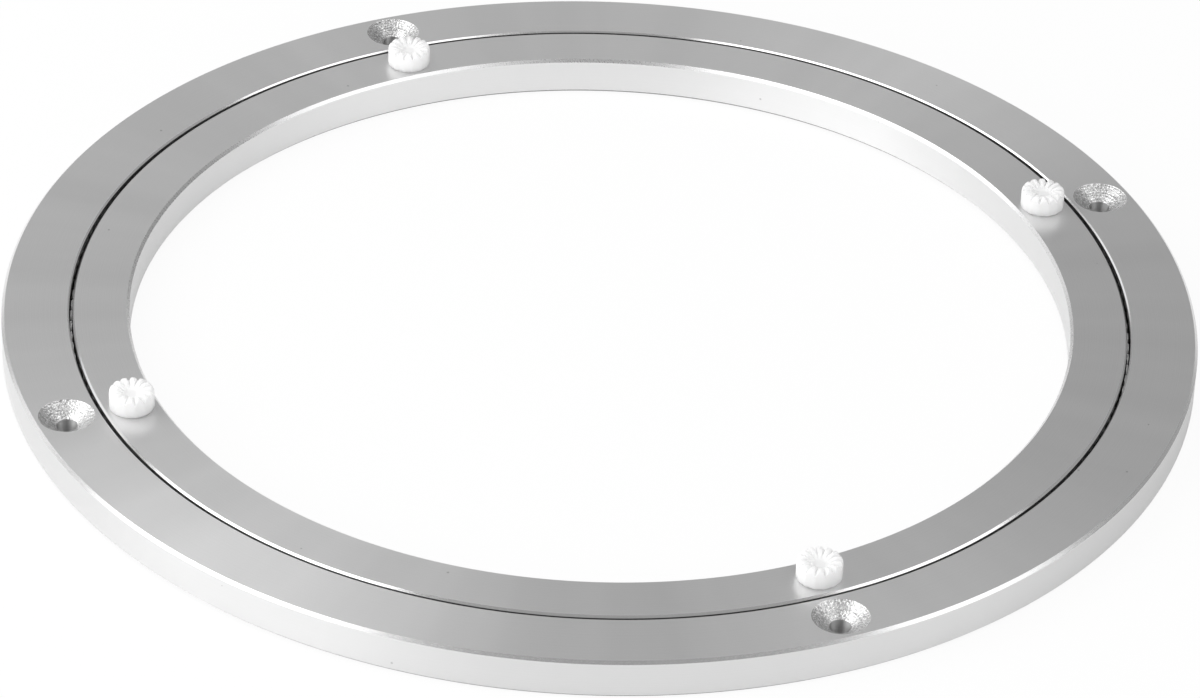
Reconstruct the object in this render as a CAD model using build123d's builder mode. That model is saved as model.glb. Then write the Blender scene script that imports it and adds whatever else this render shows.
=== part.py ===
from build123d import *
import os
from math import asin, atan, degrees, floor, pi, sqrt

# Lazy susan bearing: an outer ring that is screwed to a table, an inner ring that turns inside it on a
# full row of steel balls, and four toothed pads on the inner ring that carry the turning board.
# Millimetres. The origin is on the spin axis at the underside of the outer ring, +Z is up, and the
# first screw hole lies on +X.

# Rings
outer_diameter = 250.0
outer_ring_width = 14.0
running_gap = 0.7
inner_ring_width = 11.85
ring_height = 8.5
inner_ring_lift = 0.2
rim_chamfer = 0.6
outer_gap_chamfer = 0.3
inner_gap_chamfer = 0.4

# Ball row and its two V races
ball_diameter = 3.969
ball_side_clearance = 0.02
race_clearance = 0.2
ball_row_corners = 3
ball_side_angle = 42.0

# Screw holes, centred on the flat of the outer ring
screw_count = 4
screw_hole_diameter = 4.4
countersink_diameter = 11.6
countersink_depth = 2.4

# Pads, centred on the flat of the inner ring, which stands turned a little past the screw holes
pad_count = 4
pad_lead_angle = 0.85
pad_diameter = 9.1
pad_height = 4.4
pad_foot_chamfer = 0.4
pad_shoulder = 0.7
pad_crest_width = 0.5
pad_dish_diameter = 3.2
pad_dish_depth = 1.25
pad_dish_wall = 0.1
tooth_count = 14
tooth_turn_angle = 1.7
notch_mouth_width = 0.9
notch_floor_width = 0.3
notch_depth = 1.05
pad_stem_flats = 6
pad_stem_diameter = 4.5
pad_stem_length = 4.5
pad_stem_clearance = 0.02
pad_hole_spare_depth = 0.5

# Filler plug that closes the hole through which the balls are loaded
plug_angle = 45.0
plug_diameter = 5.0
plug_recess = 0.8
plug_end_clearance = 0.5
plug_clearance = 0.05
plug_socket_flats = 6
plug_socket_width = 2.5
plug_socket_depth = 2.5

# Worked out from the sizes above
outer_radius = outer_diameter / 2
outer_wall_radius = outer_radius - outer_ring_width
inner_wall_radius = outer_wall_radius - running_gap
bore_radius = inner_wall_radius - inner_ring_width
pitch_radius = (outer_wall_radius + inner_wall_radius) / 2
ball_level = ring_height / 2
ball_radius = ball_diameter / 2
ball_count = floor(pi / asin((ball_radius + ball_side_clearance / 2) / pitch_radius))
race_width = ball_diameter + 2 * race_clearance
race_root_reach = race_width / sqrt(2)
screw_circle_radius = (outer_radius - rim_chamfer + outer_wall_radius + outer_gap_chamfer) / 2
countersink_angle = 2 * degrees(atan((countersink_diameter - screw_hole_diameter) / 2 / countersink_depth))
pad_circle_radius = (inner_wall_radius - inner_gap_chamfer + bore_radius + rim_chamfer) / 2
pad_radius = pad_diameter / 2
pad_slope_width = pad_radius - pad_shoulder - pad_crest_width - pad_dish_diameter / 2
pad_slope_depth = pad_dish_depth - pad_dish_wall
pad_stem_radius = pad_stem_diameter / 2
plug_outer_end = outer_radius - plug_recess
plug_length = plug_outer_end - pitch_radius - race_root_reach - plug_end_clearance
plug_radius = plug_diameter / 2 - plug_clearance

top_face = Plane.XY.offset(ring_height)
plug_axis = Plane(origin=(0, 0, ball_level), z_dir=Vector(1, 0, 0).rotate(Axis.Z, plug_angle))

os.makedirs("parts", exist_ok=True)

# Section of the ball path: a square standing on its corner round the ball. Each ring loses the half on its
# side, which leaves it a V race that holds the ball at 45 degrees.
with BuildSketch(Plane.XZ) as ball_path:
    with Locations((pitch_radius, ball_level)):
        Rectangle(race_width, race_width, rotation=45)

# Outer ring
with BuildPart() as outer_ring:
    with BuildSketch(Plane.XZ) as section:
        with Locations((outer_wall_radius, 0)):
            Rectangle(outer_ring_width, ring_height, align=(Align.MIN, Align.MIN))
        chamfer(section.vertices().group_by(Axis.X)[-1], rim_chamfer)
        chamfer(section.vertices().group_by(Axis.X)[0].sort_by(Axis.Y)[-1], outer_gap_chamfer)
    revolve(axis=Axis.Z)
    revolve(ball_path.sketch, axis=Axis.Z, mode=Mode.SUBTRACT)
    with Locations(top_face):
        with PolarLocations(screw_circle_radius, screw_count):
            CounterSinkHole(screw_hole_diameter / 2, countersink_diameter / 2,
                            counter_sink_angle=countersink_angle)
    with BuildSketch(plug_axis.offset(pitch_radius)):
        Circle(plug_diameter / 2)
    extrude(amount=running_gap + outer_ring_width, mode=Mode.SUBTRACT)

outer_ring.part.label = "outer_ring"
export_step(outer_ring.part, "parts/outer_ring.step")

# Inner ring, lifted clear of the table, with a blind hole for each pad's stem
with BuildPart() as inner_ring:
    with BuildSketch(Plane.XZ) as section:
        with Locations((bore_radius, inner_ring_lift)):
            Rectangle(inner_ring_width, ring_height - inner_ring_lift, align=(Align.MIN, Align.MIN))
        chamfer(section.vertices().group_by(Axis.X)[0], rim_chamfer)
        chamfer(section.vertices().group_by(Axis.X)[-1].sort_by(Axis.Y)[-1], inner_gap_chamfer)
    revolve(axis=Axis.Z)
    revolve(ball_path.sketch, axis=Axis.Z, mode=Mode.SUBTRACT)
    with Locations(top_face):
        with PolarLocations(pad_circle_radius, pad_count, start_angle=pad_lead_angle):
            Hole(pad_stem_radius + pad_stem_clearance, pad_stem_length + pad_hole_spare_depth)

inner_ring.part.label = "inner_ring"
export_step(inner_ring.part, "parts/inner_ring.step")

# Steel balls in a full row. Each is rounded off with flats between corners that lie on the ball: one row of
# corners round its middle, and between them a row towards each of the neighbouring balls.
ball_points = []
for step in range(ball_row_corners):
    row_turn = 360 / ball_row_corners * step
    ball_points.append(Vector(0, 0, ball_radius).rotate(Axis.Y, row_turn))
    for side_angle in (ball_side_angle, -ball_side_angle):
        beside = Vector(0, 0, -ball_radius).rotate(Axis.X, side_angle)
        ball_points.append(beside.rotate(Axis.Y, row_turn))

with BuildPart() as bearing_balls:
    with Locations(Plane.XY.offset(ball_level)):
        with PolarLocations(pitch_radius, ball_count):
            ConvexPolyhedron(ball_points)

bearing_balls.part.label = "bearing_balls"
export_step(bearing_balls.part, "parts/bearing_balls.step")

# Notch between two teeth of a pad, from inside the dish out through the rim, narrower at its floor
with BuildPart() as notch:
    with BuildSketch(Plane.YZ.offset(pad_dish_diameter / 2)):
        with BuildLine():
            Polyline(
                (-notch_mouth_width / 2, pad_height),
                (notch_mouth_width / 2, pad_height),
                (notch_floor_width / 2, pad_height - notch_depth),
                (-notch_floor_width / 2, pad_height - notch_depth),
                close=True,
            )
        make_face()
    extrude(amount=pad_radius)

# Pad: a body with one flat for each tooth, a dished top with a notch at each corner, and a stem whose
# corners grip the ring
with BuildPart() as pad:
    with BuildSketch():
        RegularPolygon(pad_radius, tooth_count, major_radius=False)
    extrude(amount=pad_height)
    chamfer(pad.edges().group_by(Axis.Z)[0], pad_foot_chamfer)
    chamfer(pad.edges().group_by(Axis.Z)[-1], pad_shoulder)
    with BuildSketch(Plane.XY.offset(pad_height)):
        RegularPolygon(pad_dish_diameter / 2, tooth_count, major_radius=False)
    extrude(amount=-pad_dish_depth, mode=Mode.SUBTRACT)
    crest = pad.faces().sort_by(Axis.Z)[-1]
    chamfer(crest.inner_wires()[0].edges(), pad_slope_width, pad_slope_depth, reference=crest)
    with PolarLocations(0, tooth_count):
        add(notch.part, mode=Mode.SUBTRACT)
    with BuildSketch():
        RegularPolygon(pad_stem_radius, pad_stem_flats)
    extrude(amount=-pad_stem_length)

# The pads are not turned with their places round the ring: their teeth all point the same ways.
with Locations(top_face):
    pad_ring = PolarLocations(pad_circle_radius, pad_count, start_angle=pad_lead_angle, rotate=False)
    pad_places = pad_ring.locations

for number, place in enumerate(pad_places, start=1):
    with BuildPart() as seated_pad:
        with Locations(place):
            add(pad.part, rotation=(0, 0, tooth_turn_angle))
    seated_pad.part.label = f"pad_{number}"
    export_step(seated_pad.part, f"parts/pad_{number}.step")

# Filler plug: a headless screw with a hexagon socket, sunk below the outer wall
with BuildPart() as filler_plug:
    with BuildSketch(plug_axis.offset(plug_outer_end)):
        Circle(plug_radius)
    extrude(amount=-plug_length)
    with BuildSketch(plug_axis.offset(plug_outer_end)):
        RegularPolygon(plug_socket_width / 2, plug_socket_flats, major_radius=False)
    extrude(amount=-plug_socket_depth, mode=Mode.SUBTRACT)

filler_plug.part.label = "filler_plug"
export_step(filler_plug.part, "parts/filler_plug.step")
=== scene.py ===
from math import atan2, cos, hypot, pi, radians, sin, sqrt, tan

import bmesh
import bpy
from mathutils import Matrix, Quaternion, Vector


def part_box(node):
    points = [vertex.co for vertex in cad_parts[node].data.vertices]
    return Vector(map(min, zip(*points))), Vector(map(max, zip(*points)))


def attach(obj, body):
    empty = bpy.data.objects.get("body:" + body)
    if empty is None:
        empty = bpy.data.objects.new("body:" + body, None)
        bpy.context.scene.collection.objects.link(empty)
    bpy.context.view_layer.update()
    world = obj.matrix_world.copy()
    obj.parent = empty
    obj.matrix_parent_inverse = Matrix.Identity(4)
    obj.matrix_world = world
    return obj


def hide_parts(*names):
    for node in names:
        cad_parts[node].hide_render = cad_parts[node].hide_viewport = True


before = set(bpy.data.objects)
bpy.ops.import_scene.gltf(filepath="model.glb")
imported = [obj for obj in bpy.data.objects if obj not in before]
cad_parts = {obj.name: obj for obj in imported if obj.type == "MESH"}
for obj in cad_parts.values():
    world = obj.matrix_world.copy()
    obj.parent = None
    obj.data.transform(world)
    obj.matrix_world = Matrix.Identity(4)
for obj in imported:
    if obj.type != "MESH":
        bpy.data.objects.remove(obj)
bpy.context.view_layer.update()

# Lazy susan bearing: two aluminium rings, a full row of steel balls between them, four toothed pads and
# the plug of the filler hole. Metres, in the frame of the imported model.
mm = 0.001

# Rings
outer_ring_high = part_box("outer_ring")[1]
inner_ring_low, inner_ring_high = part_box("inner_ring")
outer_radius = outer_ring_high.x
ring_top = outer_ring_high.z
inner_ring_underside = inner_ring_low.z
outer_wall_radius = outer_radius - 14.0 * mm
inner_wall_radius = inner_ring_high.x
bore_radius = inner_wall_radius - 11.85 * mm
rim_chamfer = 0.6 * mm
outer_gap_chamfer = 0.3 * mm
inner_gap_chamfer = 0.4 * mm
edge_band = 1.1 * rim_chamfer
ring_segments = 720

# Ball row and its V races
pitch_radius = (outer_wall_radius + inner_wall_radius) / 2
ball_level = ring_top / 2
ball_radius = 3.969 / 2 * mm
ball_count = 174
race_clearance = 0.2 * mm
race_reach = (ball_radius + race_clearance) * sqrt(2)

# Screw holes
screw_count = 4
screw_hole_radius = 2.2 * mm
countersink_radius = 5.8 * mm
countersink_depth = 2.4 * mm
screw_circle_radius = (outer_radius - rim_chamfer + outer_wall_radius + outer_gap_chamfer) / 2
hole_segments = 96
cut_overrun = 1.0 * mm

# Pads
pad_count = 4
pad_lead = radians(0.85)
pad_circle_radius = (inner_wall_radius - inner_gap_chamfer + bore_radius + rim_chamfer) / 2
pad_radius = 4.55 * mm
pad_height = 4.4 * mm
pad_foot_round = 0.4 * mm
pad_shoulder = 0.7 * mm
pad_crest_width = 0.5 * mm
pad_dish_depth = 1.25 * mm
pad_dish_flat = 0.9 * mm
pad_dish_slope = pad_radius - pad_shoulder - pad_crest_width - pad_dish_flat
pad_stem_radius = 2.25 * mm
pad_stem_length = 4.5 * mm
pad_stem_chamfer = 0.4 * mm
pad_hole_radius = pad_stem_radius + 0.02 * mm
pad_hole_depth = pad_stem_length + 0.5 * mm
tooth_count = 14
tooth_turn = radians(1.7)
notch_depth = 1.1 * mm
notch_floor_width = 0.45 * mm
tooth_roundness = 2.6
tooth_corner_stretch = 1.018
tooth_segments = 22

# Filler plug
plug_angle = radians(45)
plug_hole_radius = 2.5 * mm
plug_radius = 2.45 * mm
plug_recess = 0.8 * mm
plug_end_clearance = 0.5 * mm
plug_chamfer = 0.35 * mm
plug_socket_flats = 2.5 * mm
plug_socket_depth = 2.5 * mm
plug_outer_end = outer_radius - plug_recess
plug_inner_end = pitch_radius + race_reach + plug_end_clearance

# Metal: specks, and the quarter turn that lays the gloss across the tool marks
speck_spacing = 3.0 * mm
speck_radius = 0.27 * mm
gloss_turn = 0.25

# Meshes. A face is level or leans by how much of its normal points up or down.
merge_distance = 1e-8
sliver_length = 1e-9
level_share = 0.95
lean_share = 0.3
metal_sharp_angle = radians(25)
tooth_sharp_angle = radians(40)

# Camera and light
camera_place = Vector((-0.42207, -0.92316, 0.67783))
camera_aim = Vector((-0.00700, -0.01582, 0.0085))
camera_roll = radians(2.234)
camera_lens = 174.07
camera_sensor = 36.0
camera_bearing = atan2(camera_place.y, camera_place.x)
lamp_distance = 0.9
world_level = 0.35


class Value:
    """One output of a node. Arithmetic on it adds Math nodes to its sheet."""

    def __init__(self, sheet, socket):
        self.sheet = sheet
        self.socket = socket

    def out(self, name):
        return Value(self.sheet, self.socket.node.outputs[name])

    def math(self, operation, *operands):
        return self.sheet.add("ShaderNodeMath", {"operation": operation}, dict(enumerate(operands)))

    def __add__(self, other):
        return self.math("ADD", self, other)

    __radd__ = __add__

    def __sub__(self, other):
        return self.math("SUBTRACT", self, other)

    def __rsub__(self, other):
        return self.math("SUBTRACT", other, self)

    def __mul__(self, other):
        return self.math("MULTIPLY", self, other)

    __rmul__ = __mul__

    def __truediv__(self, other):
        return self.math("DIVIDE", self, other)

    def __rtruediv__(self, other):
        return self.math("DIVIDE", other, self)

    def __pow__(self, other):
        return self.math("POWER", self, other)

    def __abs__(self):
        return self.math("ABSOLUTE", self)

    def __gt__(self, other):
        return self.math("GREATER_THAN", self, other)

    def __lt__(self, other):
        return self.math("LESS_THAN", self, other)

    def fraction(self):
        return self.math("FRACT", self)

    def at_least(self, other):
        return self.math("MAXIMUM", self, other)

    def at_most(self, other):
        return self.math("MINIMUM", self, other)


class Sheet:
    """A node tree that is written one node at a time."""

    def __init__(self, tree):
        self.tree = tree

    def add(self, kind, settings=None, sockets=None):
        """Adds a node with its settings, then a value or a link for each socket. Gives its first output."""
        node = self.tree.nodes.new(kind)
        for name, setting in (settings or {}).items():
            setattr(node, name, setting)
        for name, value in (sockets or {}).items():
            if isinstance(value, Value):
                self.tree.links.new(value.socket, node.inputs[name])
            else:
                node.inputs[name].default_value = value
        return Value(self, node.outputs[0]) if node.outputs else None


def material(name, paint):
    """A material whose surface is what paint(sheet) returns."""
    made = bpy.data.materials.new(name)
    made.use_nodes = True
    made.node_tree.nodes.clear()
    sheet = Sheet(made.node_tree)
    sheet.add("ShaderNodeOutputMaterial", {}, {"Surface": paint(sheet)})
    return made


def grey(level):
    return (level, level, level, 1.0)


def position(sheet):
    """The point on the object."""
    return sheet.add("ShaderNodeTexCoord").out("Object")


def coordinates(place):
    """The x, y and z of a point."""
    parts = place.sheet.add("ShaderNodeSeparateXYZ", {}, {0: place})
    return [parts.out(axis) for axis in "XYZ"]


def height_of(place):
    return coordinates(place)[2]


def noise(sheet, place, size, detail=2.0):
    """Soft noise from 0 to 1 whose lumps are about that size, in metres."""
    sockets = {"Vector": place, "Scale": 1 / size, "Detail": detail}
    return sheet.add("ShaderNodeTexNoise", {"noise_dimensions": "3D"}, sockets)


def lines(sheet, across, spacing, detail=2.0):
    """Noise that changes only across the tool marks, about one mark for each spacing."""
    sockets = {"W": across, "Scale": 1 / spacing, "Detail": detail}
    return sheet.add("ShaderNodeTexNoise", {"noise_dimensions": "1D"}, sockets)


def mixed(sheet, share, first, second):
    """Colour between first and second by share. The node's two colours are its inputs 6 and 7."""
    sockets = {"Factor": share, 6: first, 7: second}
    return sheet.add("ShaderNodeMix", {"data_type": "RGBA"}, sockets).out("Result")


def specks(sheet, place, share):
    """Small spots of dirt, 1 on a spot and 0 elsewhere. The share is how many of the cells hold one."""
    sockets = {"Vector": place, "Scale": 1 / speck_spacing}
    cells = sheet.add("ShaderNodeTexVoronoi", {"feature": "F1"}, sockets)
    chosen = sheet.add("ShaderNodeSeparateColor", {}, {0: cells.out("Color")}) < share
    return chosen * (cells.out("Distance") < speck_radius / speck_spacing)


def paint_satin_aluminium(sheet, roughness, stretch):
    """Fine-turned ring face: concentric marks, a blasted grain, faint streaks and a few small specks."""
    place = position(sheet)
    x, y, z = coordinates(place)
    radius = (x * x + y * y) ** 0.5
    heading = sheet.add("ShaderNodeCombineXYZ", {}, {"X": x / radius, "Y": y / radius})
    streaks = noise(sheet, heading, 0.12)
    marks = lines(sheet, radius + z, 0.22 * mm, 3.0)
    grain = noise(sheet, place, 0.25 * mm)
    clouds = noise(sheet, place, 18 * mm)
    tone = mixed(sheet, streaks * 0.5 + marks * 0.3 + grain * 0.2, grey(0.68), grey(0.90))
    colour = mixed(sheet, specks(sheet, place, 0.05) * 0.5, tone, grey(0.35))
    relief = marks * 0.5 + grain * 0.5
    bump = sheet.add("ShaderNodeBump", {}, {"Strength": 0.25, "Distance": 0.01 * mm, "Height": relief})
    return sheet.add("ShaderNodeBsdfPrincipled", {}, {
        "Base Color": colour,
        "Metallic": 1.0,
        "Roughness": roughness + grain * 0.06 + clouds * 0.04,
        "Anisotropic": stretch,
        "Anisotropic Rotation": gloss_turn,
        "Normal": bump,
    })


def paint_turned_wall(sheet, tone):
    """Bright upright wall of a ring with the turning tool's marks round it."""
    place = position(sheet)
    marks = lines(sheet, height_of(place), 0.2 * mm, 3.0)
    clouds = noise(sheet, place, 18 * mm)
    turned = mixed(sheet, marks * 0.6 + clouds * 0.4, grey(0.96 * tone), grey(1.04 * tone))
    bump = sheet.add("ShaderNodeBump", {}, {"Strength": 0.2, "Distance": 0.01 * mm, "Height": marks})
    return sheet.add("ShaderNodeBsdfPrincipled", {}, {
        "Base Color": mixed(sheet, specks(sheet, place, 0.1) * 0.4, turned, grey(0.3)),
        "Metallic": 1.0,
        "Roughness": 0.46 + clouds * 0.06,
        "Anisotropic": 0.7,
        "Anisotropic Rotation": gloss_turn,
        "Normal": bump,
    })


def paint_edge(sheet, tone, roughness):
    """Chamfer cut by a sharp tool after the faces were finished."""
    place = position(sheet)
    marks = lines(sheet, height_of(place), 0.06 * mm)
    nicks = noise(sheet, place, 0.5 * mm)
    relief = marks + nicks
    bump = sheet.add("ShaderNodeBump", {}, {"Strength": 0.2, "Distance": 0.01 * mm, "Height": relief})
    return sheet.add("ShaderNodeBsdfPrincipled", {}, {
        "Base Color": mixed(sheet, nicks, grey(0.95 * tone), grey(1.05 * tone)),
        "Metallic": 1.0,
        "Roughness": roughness + nicks * 0.08,
        "Normal": bump,
    })


def paint_countersink(sheet):
    """Cone cut by a chattering countersink: rings round the screw's axis, torn in places."""
    place = position(sheet)
    x, y = coordinates(place)[:2]
    on_x = abs(x) > abs(y)
    along = abs(x) * on_x + abs(y) * (1 - on_x) - screw_circle_radius
    aside = y * on_x + x * (1 - on_x)
    across = (along * along + aside * aside) ** 0.5
    rings = lines(sheet, across, 0.5 * mm)
    tears = noise(sheet, place, 0.45 * mm, 3.0)
    relief = rings + tears
    bump = sheet.add("ShaderNodeBump", {}, {"Strength": 0.9, "Distance": 0.22 * mm, "Height": relief})
    return sheet.add("ShaderNodeBsdfPrincipled", {}, {
        "Base Color": mixed(sheet, (tears - 0.35) * 3, grey(0.50), grey(0.98)),
        "Metallic": 1.0,
        "Roughness": 0.12 + tears * 0.2,
        "Normal": bump,
    })


def paint_drilled_hole(sheet):
    """Wall of a drilled hole with the drill's marks round it."""
    marks = lines(sheet, height_of(position(sheet)), 0.25 * mm)
    return sheet.add("ShaderNodeBsdfPrincipled", {}, {
        "Base Color": mixed(sheet, marks, grey(0.60), grey(0.74)),
        "Metallic": 1.0,
        "Roughness": 0.6,
        "Anisotropic": 1.0,
        "Anisotropic Rotation": gloss_turn,
    })


def paint_race(sheet, tone):
    """Ground race or gap wall, darker than the ring faces and blotchy in tone."""
    place = position(sheet)
    blotches = noise(sheet, place, 4 * mm)
    marks = lines(sheet, height_of(place), 0.15 * mm)
    return sheet.add("ShaderNodeBsdfPrincipled", {}, {
        "Base Color": mixed(sheet, blotches, grey(0.85 * tone), grey(1.15 * tone)),
        "Metallic": 1.0,
        "Roughness": 0.25 + marks * 0.1,
    })


def paint_ball_steel(sheet):
    """Polished bearing steel with a thin smear of grease."""
    smear = noise(sheet, position(sheet), 1.5 * mm)
    return sheet.add("ShaderNodeBsdfPrincipled", {}, {
        "Base Color": mixed(sheet, smear, grey(0.50), grey(0.62)),
        "Metallic": 1.0,
        "Roughness": 0.06 + smear * 0.08,
    })


def paint_pad_plastic(sheet):
    """White moulded nylon, a little uneven in gloss, slightly cloudy below its skin."""
    place = position(sheet)
    clouds = noise(sheet, place, 2.5 * mm)
    skin = noise(sheet, place, 0.2 * mm)
    bump = sheet.add("ShaderNodeBump", {}, {"Strength": 0.1, "Distance": 0.01 * mm, "Height": skin})
    return sheet.add("ShaderNodeBsdfPrincipled", {}, {
        "Base Color": mixed(sheet, clouds, grey(0.985), grey(1.0)),
        "Roughness": 0.42 + clouds * 0.1,
        "Subsurface Weight": 1.0,
        "Subsurface Radius": (1.0, 1.0, 1.0),
        "Subsurface Scale": 3.0 * mm,
        "Normal": bump,
    })


def paint_plug_steel(sheet):
    """Dark oiled screw steel with brighter, rubbed high spots."""
    rubbed = noise(sheet, position(sheet), 0.8 * mm, 3.0)
    return sheet.add("ShaderNodeBsdfPrincipled", {}, {
        "Base Color": mixed(sheet, rubbed, grey(0.10), grey(0.32)),
        "Metallic": 1.0,
        "Roughness": 0.3 + rubbed * 0.2,
    })


def paint_floor(sheet):
    """White table, close to white where it is looked at and a little lifted where the metal mirrors it."""
    path = sheet.add("ShaderNodeLightPath")
    looked_at = path.out("Is Camera Ray") * 0.92
    mirrored = (path.out("Is Glossy Ray") + path.out("Is Transmission Ray")) * 0.25
    return sheet.add("ShaderNodeMixShader", {}, {
        "Fac": looked_at + mirrored,
        1: sheet.add("ShaderNodeBsdfDiffuse", {}, {"Color": grey(0.95)}),
        2: sheet.add("ShaderNodeEmission", {}, {"Color": grey(1.0), "Strength": 1.0}),
    })


satin_outer_face = material("satin_outer_face", lambda sheet: paint_satin_aluminium(sheet, 0.37, 0.7))
satin_inner_face = material("satin_inner_face", lambda sheet: paint_satin_aluminium(sheet, 0.34, 0.6))
turned_rim = material("turned_rim", lambda sheet: paint_turned_wall(sheet, 0.79))
turned_bore = material("turned_bore", lambda sheet: paint_turned_wall(sheet, 0.86))
rim_edge = material("bright_rim_edge", lambda sheet: paint_edge(sheet, 0.84, 0.2))
bore_edge = material("bright_bore_edge", lambda sheet: paint_edge(sheet, 0.76, 0.24))
gap_edge = material("bright_gap_edge", lambda sheet: paint_edge(sheet, 0.84, 0.1))
# Underside chamfers in dark grey: painted shade that stands for the contact shadow on them.
underside_chamfer_shade = material("underside_chamfer_painted_shade", lambda sheet: paint_edge(sheet, 0.36, 0.4))
countersink_cut = material("countersink_cut", paint_countersink)
drilled_hole = material("drilled_hole", paint_drilled_hole)
darker_race = material("darker_race", lambda sheet: paint_race(sheet, 0.48))
gap_wall = material("darker_gap_wall", lambda sheet: paint_race(sheet, 0.63))
ball_steel = material("ball_steel", paint_ball_steel)
pad_plastic = material("white_pad_plastic", paint_pad_plastic)
plug_steel = material("plug_steel", paint_plug_steel)
floor_white = material("floor_white", paint_floor)


def new_object(name, mesh):
    made = bpy.data.objects.new(name, mesh)
    bpy.context.collection.objects.link(made)
    return made


def lathe(name, outline, segments, place=Matrix.Identity(4), loop=True):
    """Solid turned about the Z axis of place. Its outline is a loop, or a line from axis to axis."""
    mesh = bmesh.new()
    columns = []
    for step in range(segments):
        turn = 2 * pi * step / segments
        columns.append([
            mesh.verts.new(place @ Vector((radius * cos(turn), radius * sin(turn), height)))
            for radius, height in outline
        ])
    spans = len(outline) if loop else len(outline) - 1
    for step, column in enumerate(columns):
        following = columns[(step + 1) % segments]
        for span in range(spans):
            after = (span + 1) % len(outline)
            mesh.faces.new((column[span], following[span], following[after], column[after]))
    bmesh.ops.remove_doubles(mesh, verts=mesh.verts, dist=merge_distance)
    bmesh.ops.dissolve_degenerate(mesh, edges=mesh.edges, dist=sliver_length)
    bmesh.ops.recalc_face_normals(mesh, faces=mesh.faces)
    data = bpy.data.meshes.new(name)
    mesh.to_mesh(data)
    mesh.free()
    return new_object(name, data)


def settle(piece):
    """Turns the piece's modifiers into a plain mesh."""
    depsgraph = bpy.context.evaluated_depsgraph_get()
    made = bpy.data.meshes.new_from_object(piece.evaluated_get(depsgraph))
    piece.modifiers.clear()
    piece.data = made


def cut(piece, cutters):
    """Takes the cutters out of the piece."""
    for cutter in cutters:
        step = piece.modifiers.new("cut", "BOOLEAN")
        step.operation = "DIFFERENCE"
        step.solver = "EXACT"
        step.object = cutter
    settle(piece)
    for cutter in cutters:
        bpy.data.objects.remove(cutter)


def dress(piece, finishes, choose, sharp_angle):
    """Gives each face its finish, and smooth shading between edges sharper than that angle."""
    piece.data.materials.clear()
    for finish in finishes:
        piece.data.materials.append(finish)
    for face in piece.data.polygons:
        face.material_index = finishes.index(choose(face.center, face.normal))
    piece.data.shade_smooth()
    piece.data.set_sharp_from_angle(angle=sharp_angle)


def on_circle(radius, turn, height):
    return Vector((radius * cos(turn), radius * sin(turn), height))


ring_finishes = [
    satin_outer_face, satin_inner_face, turned_rim, turned_bore,
    rim_edge, bore_edge, gap_edge, underside_chamfer_shade, gap_wall, darker_race,
]


def ring_finish(centre, normal):
    """Finish of a ring's face by where it is and how it leans."""
    radius = hypot(centre.x, centre.y)
    on_outer = radius > pitch_radius
    if abs(normal.z) > level_share:
        return satin_outer_face if on_outer else satin_inner_face
    in_gap = abs(radius - pitch_radius) < race_reach + cut_overrun
    leans = abs(normal.z) > lean_share
    if leans and abs(centre.z - ball_level) > ring_top / 2 - edge_band:
        # Lower chamfers get the dark finish of painted shade.
        if centre.z < ball_level:
            return underside_chamfer_shade
        if in_gap:
            return gap_edge
        return rim_edge if on_outer else bore_edge
    if in_gap:
        return darker_race if leans else gap_wall
    return turned_rim if on_outer else turned_bore


screw_places = [on_circle(screw_circle_radius, 2 * pi * n / screw_count, 0) for n in range(screw_count)]
pad_turns = [pad_lead + 2 * pi * n / pad_count for n in range(pad_count)]


def screw_cutter(place):
    """A countersink and its through hole."""
    cone_slope = (countersink_radius - screw_hole_radius) / countersink_depth
    outline = [
        (0, -cut_overrun),
        (screw_hole_radius, -cut_overrun),
        (screw_hole_radius, ring_top - countersink_depth),
        (countersink_radius + cut_overrun * cone_slope, ring_top + cut_overrun),
        (0, ring_top + cut_overrun),
    ]
    return lathe("screw_cutter", outline, hole_segments, Matrix.Translation(place), loop=False)


def plug_axis(radius):
    """Frame at that radius on the plug's axis, with Z pointing out of the ring."""
    outwards = on_circle(1, plug_angle, 0)
    place = Matrix.Translation(on_circle(radius, plug_angle, ball_level))
    return place @ outwards.to_track_quat("Z", "X").to_matrix().to_4x4()


def make_outer_ring():
    outline = [
        (outer_wall_radius, 0),
        (outer_radius - rim_chamfer, 0),
        (outer_radius, rim_chamfer),
        (outer_radius, ring_top - rim_chamfer),
        (outer_radius - rim_chamfer, ring_top),
        (outer_wall_radius + outer_gap_chamfer, ring_top),
        (outer_wall_radius, ring_top - outer_gap_chamfer),
        (outer_wall_radius, ball_level + race_reach - (outer_wall_radius - pitch_radius)),
        (pitch_radius + race_reach, ball_level),
        (outer_wall_radius, ball_level - race_reach + (outer_wall_radius - pitch_radius)),
    ]
    ring = lathe("outer_ring_turned", outline, ring_segments)
    plug_hole_length = outer_radius - pitch_radius + cut_overrun
    plug_hole = [
        (0, 0),
        (plug_hole_radius, 0),
        (plug_hole_radius, plug_hole_length),
        (0, plug_hole_length),
    ]
    cutters = [screw_cutter(place) for place in screw_places]
    cutters.append(lathe("plug_cutter", plug_hole, hole_segments, plug_axis(pitch_radius), loop=False))
    cut(ring, cutters)

    def choose(centre, normal):
        in_hole = min((centre - place).xy.length for place in screw_places) < countersink_radius
        if in_hole and abs(normal.z) < level_share:
            return countersink_cut if normal.z > lean_share else drilled_hole
        return ring_finish(centre, normal)

    dress(ring, ring_finishes + [countersink_cut, drilled_hole], choose, metal_sharp_angle)
    return ring


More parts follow.
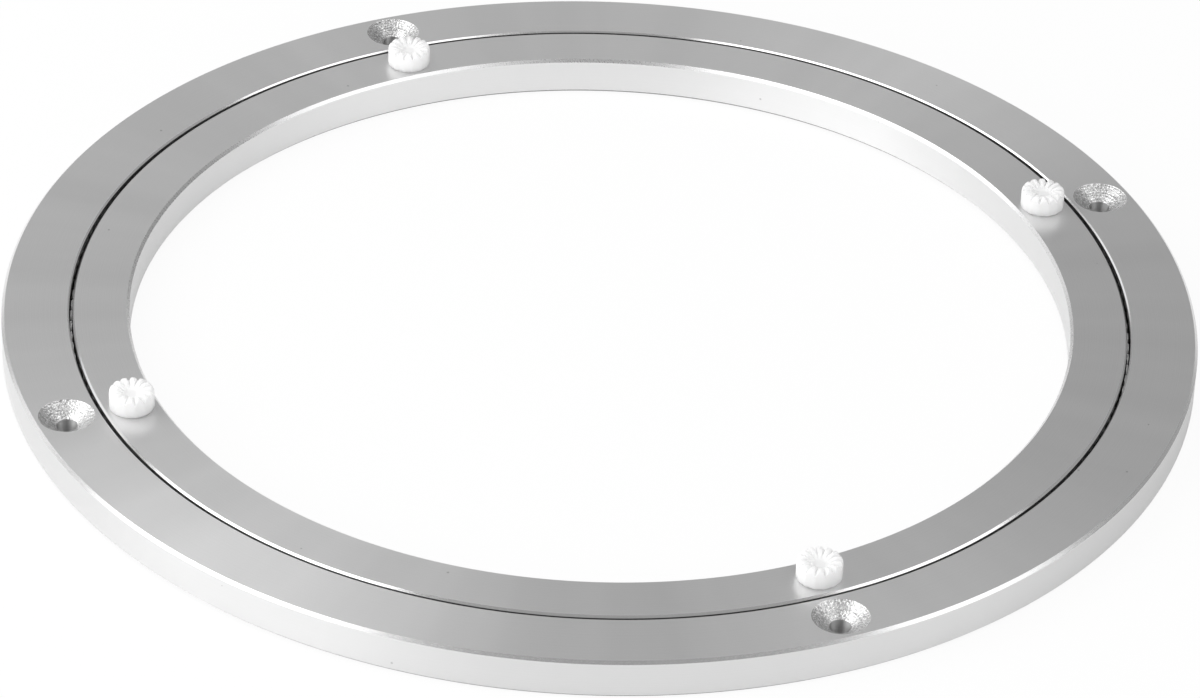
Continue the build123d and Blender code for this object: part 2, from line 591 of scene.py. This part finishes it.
def make_inner_ring():
    outline = [
        (bore_radius, inner_ring_underside + rim_chamfer),
        (bore_radius + rim_chamfer, inner_ring_underside),
        (inner_wall_radius, inner_ring_underside),
        (inner_wall_radius, ball_level - race_reach + (pitch_radius - inner_wall_radius)),
        (pitch_radius - race_reach, ball_level),
        (inner_wall_radius, ball_level + race_reach - (pitch_radius - inner_wall_radius)),
        (inner_wall_radius, ring_top - inner_gap_chamfer),
        (inner_wall_radius - inner_gap_chamfer, ring_top),
        (bore_radius + rim_chamfer, ring_top),
        (bore_radius, ring_top - rim_chamfer),
    ]
    ring = lathe("inner_ring_turned", outline, ring_segments)
    pad_hole = [
        (0, ring_top - pad_hole_depth),
        (pad_hole_radius, ring_top - pad_hole_depth),
        (pad_hole_radius, ring_top + cut_overrun),
        (0, ring_top + cut_overrun),
    ]
    cut(ring, [
        lathe("pad_hole_cutter", pad_hole, hole_segments,
              Matrix.Translation(on_circle(pad_circle_radius, turn, 0)), loop=False)
        for turn in pad_turns
    ])
    dress(ring, ring_finishes, ring_finish, metal_sharp_angle)
    return ring


def geometry_sheet(name, inputs):
    """A Geometry Nodes tree with one geometry output. Gives its sheet, inputs and their identifiers."""
    tree = bpy.data.node_groups.new(name, "GeometryNodeTree")
    tree.interface.new_socket("Geometry", in_out="INPUT", socket_type="NodeSocketGeometry")
    tree.interface.new_socket("Geometry", in_out="OUTPUT", socket_type="NodeSocketGeometry")
    identifiers = {}
    for label, kind in inputs.items():
        socket = tree.interface.new_socket(label, in_out="INPUT", socket_type=kind)
        identifiers[label] = socket.identifier
    sheet = Sheet(tree)
    return sheet, sheet.add("NodeGroupInput"), identifiers


def finish_geometry(sheet, shape, finish):
    """Ends a tree: real faces, smooth shading and a material."""
    real = sheet.add("GeometryNodeRealizeInstances", {}, {0: shape})
    smooth = sheet.add("GeometryNodeSetShadeSmooth", {}, {0: real})
    painted = sheet.add("GeometryNodeSetMaterial", {}, {0: smooth, "Material": finish})
    sheet.add("NodeGroupOutput", {}, {0: painted})


def grow(piece, sheet, identifiers, values):
    """Runs a Geometry Nodes tree on the piece with those inputs and keeps the plain mesh."""
    step = piece.modifiers.new(sheet.tree.name, "NODES")
    step.node_group = sheet.tree
    for label, value in values.items():
        step[identifiers[label]] = value
    settle(piece)


def make_ball_row():
    """Balls set side by side on the pitch circle."""
    sheet, given, identifiers = geometry_sheet("ball_row", {
        "Ball count": "NodeSocketInt",
        "Ball radius": "NodeSocketFloat",
        "Pitch radius": "NodeSocketFloat",
        "Level": "NodeSocketFloat",
        "Finish": "NodeSocketMaterial",
    })
    circle = sheet.add("GeometryNodeMeshCircle", {}, {
        "Vertices": given.out("Ball count"),
        "Radius": given.out("Pitch radius"),
    })
    lift = sheet.add("ShaderNodeCombineXYZ", {}, {"Z": given.out("Level")})
    raised = sheet.add("GeometryNodeTransform", {}, {0: circle, "Translation": lift})
    ball = sheet.add("GeometryNodeMeshIcoSphere", {}, {
        "Radius": given.out("Ball radius"),
        "Subdivisions": 2,
    })
    balls = sheet.add("GeometryNodeInstanceOnPoints", {}, {"Points": raised, "Instance": ball})
    finish_geometry(sheet, balls, given.out("Finish"))
    row = new_object("polished_ball_row", bpy.data.meshes.new("polished_ball_row"))
    grow(row, sheet, identifiers, {
        "Ball count": ball_count,
        "Ball radius": ball_radius,
        "Pitch radius": pitch_radius,
        "Level": ball_level,
        "Finish": ball_steel,
    })
    return row


def pad_outline():
    """Pad before its teeth are pressed in: stem, foot, wall, shoulder and dish, from axis to axis."""
    steps = 6
    slope_steps = 3 * steps
    points = [
        (0, -pad_stem_length),
        (pad_stem_radius - pad_stem_chamfer, -pad_stem_length),
        (pad_stem_radius, pad_stem_chamfer - pad_stem_length),
        (pad_stem_radius, 0),
    ]
    for step in range(steps + 1):
        turn = pi / 2 * step / steps
        points.append((pad_radius - pad_foot_round * (1 - sin(turn)), pad_foot_round * (1 - cos(turn))))
    dish_level = pad_height - pad_dish_depth
    notch_level = pad_height - notch_depth
    wall_top = pad_height - pad_shoulder
    for step in range(steps):
        points.append((pad_radius, notch_level + (wall_top - notch_level) * step / steps))
    for step in range(steps + 1):
        turn = pi / 2 * step / steps
        points.append((pad_radius - pad_shoulder * (1 - cos(turn)), wall_top + pad_shoulder * sin(turn)))
    for step in range(slope_steps + 1):
        share = 1 - step / slope_steps
        rise = share * share * (3 - 2 * share)
        points.append((pad_dish_flat + pad_dish_slope * share, dish_level + pad_dish_depth * rise))
    points.append((0, dish_level))
    return points


def tooth_tree():
    """Gives a pad one wall flat for each tooth, presses in the notches and sets it in its place."""
    sheet, given, identifiers = geometry_sheet("toothed_crown", {
        "Teeth": "NodeSocketInt",
        "Dish flat": "NodeSocketFloat",
        "Dish slope": "NodeSocketFloat",
        "Notch level": "NodeSocketFloat",
        "Floor width": "NodeSocketFloat",
        "Roundness": "NodeSocketFloat",
        "Stem radius": "NodeSocketFloat",
        "Wall radius": "NodeSocketFloat",
        "Corner stretch": "NodeSocketFloat",
        "Place": "NodeSocketVector",
        "Turn": "NodeSocketVector",
        "Finish": "NodeSocketMaterial",
    })
    x, y, z = coordinates(sheet.add("GeometryNodeInputPosition"))
    bearing = y.math("ARCTAN2", y, x)
    radius = (x ** 2 + y ** 2) ** 0.5
    half_pitch = pi / given.out("Teeth")
    from_notch = ((bearing / half_pitch * 0.5 + 0.5).fraction() - 0.5) * 2
    reach = radius * half_pitch
    floor_share = (given.out("Floor width") * 0.5 / reach.at_least(mm)).at_most(1)
    from_middle = 1 - ((abs(from_notch) - floor_share) / (1 - floor_share)).at_least(0)
    roundness = given.out("Roundness")
    drop = 1 - (1 - from_middle ** roundness).at_least(0) ** (roundness ** -1)
    rise = (z - given.out("Notch level")).at_least(0)
    up_slope = ((radius - given.out("Dish flat")) / given.out("Dish slope")).at_least(0).at_most(1)
    from_flat = (1 - abs(from_notch)) * half_pitch
    stretch = (1 / from_flat.math("COSINE", from_flat)).at_most(given.out("Corner stretch")) - 1
    stem = given.out("Stem radius")
    swell = stretch * ((radius - stem) / (given.out("Wall radius") - stem)).at_least(0).at_most(1)
    shift = sheet.add("ShaderNodeCombineXYZ", {}, {
        "X": x * swell,
        "Y": y * swell,
        "Z": rise * drop * up_slope * -1,
    })
    toothed = sheet.add("GeometryNodeSetPosition", {}, {0: given, "Offset": shift})
    seated = sheet.add("GeometryNodeTransform", {}, {
        0: toothed,
        "Translation": given.out("Place"),
        "Rotation": given.out("Turn"),
    })
    finish_geometry(sheet, seated, given.out("Finish"))
    return sheet, identifiers


def make_pads():
    sheet, identifiers = tooth_tree()
    outline = pad_outline()
    pads = []
    for number, turn in enumerate(pad_turns, start=1):
        pad = lathe(f"toothed_pad_{number}", outline, tooth_count * tooth_segments, loop=False)
        grow(pad, sheet, identifiers, {
            "Teeth": tooth_count,
            "Dish flat": pad_dish_flat,
            "Dish slope": pad_dish_slope,
            "Notch level": pad_height - notch_depth,
            "Floor width": notch_floor_width,
            "Roundness": tooth_roundness,
            "Stem radius": pad_stem_radius,
            "Wall radius": pad_radius,
            "Corner stretch": tooth_corner_stretch,
            "Place": on_circle(pad_circle_radius, turn, ring_top),
            "Turn": (0, 0, tooth_turn),
            "Finish": pad_plastic,
        })
        pad.data.set_sharp_from_angle(angle=tooth_sharp_angle)
        pads.append(pad)
    return pads


def make_plug():
    """Headless screw with a hexagon socket in its outer end."""
    length = plug_outer_end - plug_inner_end
    outline = [
        (0, -length),
        (plug_radius - plug_chamfer, -length),
        (plug_radius, plug_chamfer - length),
        (plug_radius, -plug_chamfer),
        (plug_radius - plug_chamfer, 0),
        (0, 0),
    ]
    plug = lathe("filler_plug_screw", outline, hole_segments, plug_axis(plug_outer_end), loop=False)
    socket_radius = plug_socket_flats / sqrt(3)
    socket = [
        (0, -plug_socket_depth),
        (socket_radius, -plug_socket_depth),
        (socket_radius, cut_overrun),
        (0, cut_overrun),
    ]
    cut(plug, [lathe("socket_cutter", socket, 6, plug_axis(plug_outer_end), loop=False)])
    dress(plug, [plug_steel], lambda centre, normal: plug_steel, metal_sharp_angle)
    return plug


def hand_over(piece, body, slot, *nodes):
    """The piece rides on a body and stands for CAD nodes, which are hidden; the slot is not used."""
    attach(piece, body)
    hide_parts(*nodes)


def make_floor():
    half = 4.0
    below = -0.02 * mm
    data = bpy.data.meshes.new("floor")
    corners = [(-half, -half, below), (half, -half, below), (half, half, below), (-half, half, below)]
    data.from_pydata(corners, [], [(0, 1, 2, 3)])
    data.materials.append(floor_white)
    floor = new_object("floor", data)


def add_softbox(name, bearing, height, width, tall, level):
    """Area lamp of that radiance. Its bearing from the camera's, height and spread are in degrees."""
    lamp = bpy.data.lights.new(name, "AREA")
    lamp.shape = "RECTANGLE"
    lamp.size = 2 * lamp_distance * tan(radians(width / 2))
    lamp.size_y = 2 * lamp_distance * tan(radians(tall / 2))
    lamp.energy = level * lamp.size * lamp.size_y * pi
    turn = camera_bearing + radians(bearing)
    place = on_circle(lamp_distance * cos(radians(height)), turn, lamp_distance * sin(radians(height)))
    box = bpy.data.objects.new(name, lamp)
    box.location = place
    box.rotation_mode = "QUATERNION"
    box.rotation_quaternion = (-place).to_track_quat("-Z", "Y")
    bpy.context.collection.objects.link(box)


def add_light():
    world = bpy.data.worlds.new("studio")
    world.use_nodes = True
    world.node_tree.nodes["Background"].inputs["Color"].default_value = grey(world_level)
    bpy.context.scene.world = world
    add_softbox("left_softbox", bearing=-88, height=50, width=60, tall=50, level=1.75)
    add_softbox("left_strip", bearing=-55, height=19, width=59, tall=22, level=2.7)
    add_softbox("front_strip", bearing=30, height=18, width=87, tall=20, level=1.22)
    add_softbox("right_softbox", bearing=78, height=52, width=34, tall=48, level=1.26)
    add_softbox("back_panel", bearing=-150, height=18, width=82, tall=20, level=0.6)


def add_camera():
    data = bpy.data.cameras.new("photo_camera")
    data.lens = camera_lens
    data.sensor_width = camera_sensor
    camera = bpy.data.objects.new("photo_camera", data)
    camera.location = camera_place
    camera.rotation_mode = "QUATERNION"
    level = (camera_aim - camera_place).to_track_quat("-Z", "Y")
    camera.rotation_quaternion = level @ Quaternion((0, 0, 1), camera_roll)
    bpy.context.collection.objects.link(camera)
    bpy.context.scene.camera = camera


hand_over(make_outer_ring(), "outer", "ring_metal", "outer_ring")
hand_over(make_plug(), "outer", "plug_steel", "filler_plug")
hand_over(make_ball_row(), "ball_row", "ball_steel", "bearing_balls")
hand_over(make_inner_ring(), "inner", "ring_metal", "inner_ring")
for number, pad in enumerate(make_pads(), start=1):
    hand_over(pad, "inner", "pad_plastic", f"pad_{number}")

make_floor()
add_light()
add_camera()
bpy.context.scene.view_settings.view_transform = "Standard"
